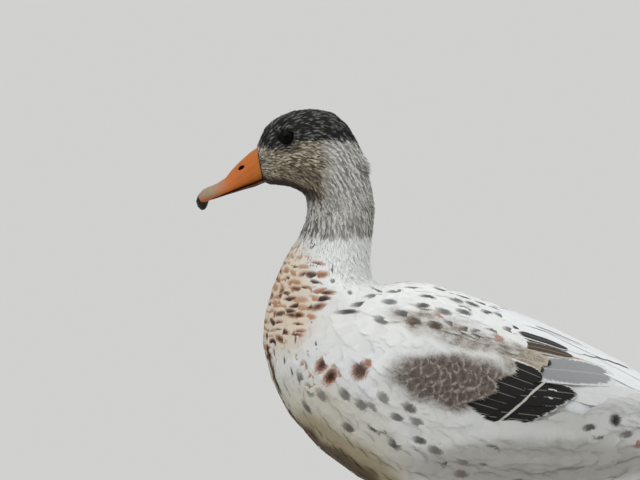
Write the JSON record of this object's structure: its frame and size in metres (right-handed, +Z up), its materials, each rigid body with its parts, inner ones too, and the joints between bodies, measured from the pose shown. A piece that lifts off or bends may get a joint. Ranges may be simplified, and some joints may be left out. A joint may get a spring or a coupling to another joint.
{
  "type": "domestic duck",
  "caption": "Standing mallard-type domestic duck with pied white plumage, black flecked cap, dark wing patch, orange bill and webbed feet.",
  "frame": {"origin": "on the ground, at the middle of the duck's box", "axes": "+Z up, -Y the way the duck faces, +X its left side"},
  "size_m": [0.1704, 0.4026, 0.3715],
  "materials": {
    "plumage": "soft white contour feathers with dark and chestnut marks",
    "neck_plumage": "fine hair-like feathers, streaked white over dark",
    "head_plumage": "very short dense feathers, black cap and flecked buff cheeks",
    "wing_plumage": "firm flight and covert feathers, grey-brown and white",
    "speculum": "black secondaries with thin white edges",
    "bill": "smooth satin horn, orange",
    "bill_dark": "smooth satin horn, dark brown",
    "nail": "hard polished horn, near black",
    "eye": "wet dark brown eye",
    "leg": "scaled orange skin",
    "claw": "dark horn"
  },
  "bodies": {
    "root": {"trunk": "plumage", "neck": "neck_plumage", "head": "head_plumage", "bill_upper": "bill", "bill_lower": "bill_dark", "bill_nail": "nail", "tail": "plumage", "eye_left": "eye", "wing_left_coverts": "wing_plumage", "wing_left_speculum": "speculum", "wing_left_tertials": "wing_plumage", "wing_left_primaries": "wing_plumage", "wing_left_tip": "wing_plumage", "leg_left_thigh": "plumage", "leg_left_shank": "leg", "leg_left_foot": "leg", "leg_left_hind_toe": "leg", "leg_left_claw_hind": "claw", "leg_left_claw_inner": "claw", "leg_left_claw_middle": "claw", "leg_left_claw_outer": "claw", "eye_right": "eye", "wing_right_coverts": "wing_plumage", "wing_right_speculum": "speculum", "wing_right_tertials": "wing_plumage", "wing_right_primaries": "wing_plumage", "wing_right_tip": "wing_plumage", "leg_right_thigh": "plumage", "leg_right_shank": "leg", "leg_right_foot": "leg", "leg_right_hind_toe": "leg", "leg_right_claw_hind": "claw", "leg_right_claw_inner": "claw", "leg_right_claw_middle": "claw", "leg_right_claw_outer": "claw"}
  },
  "joints": []
}
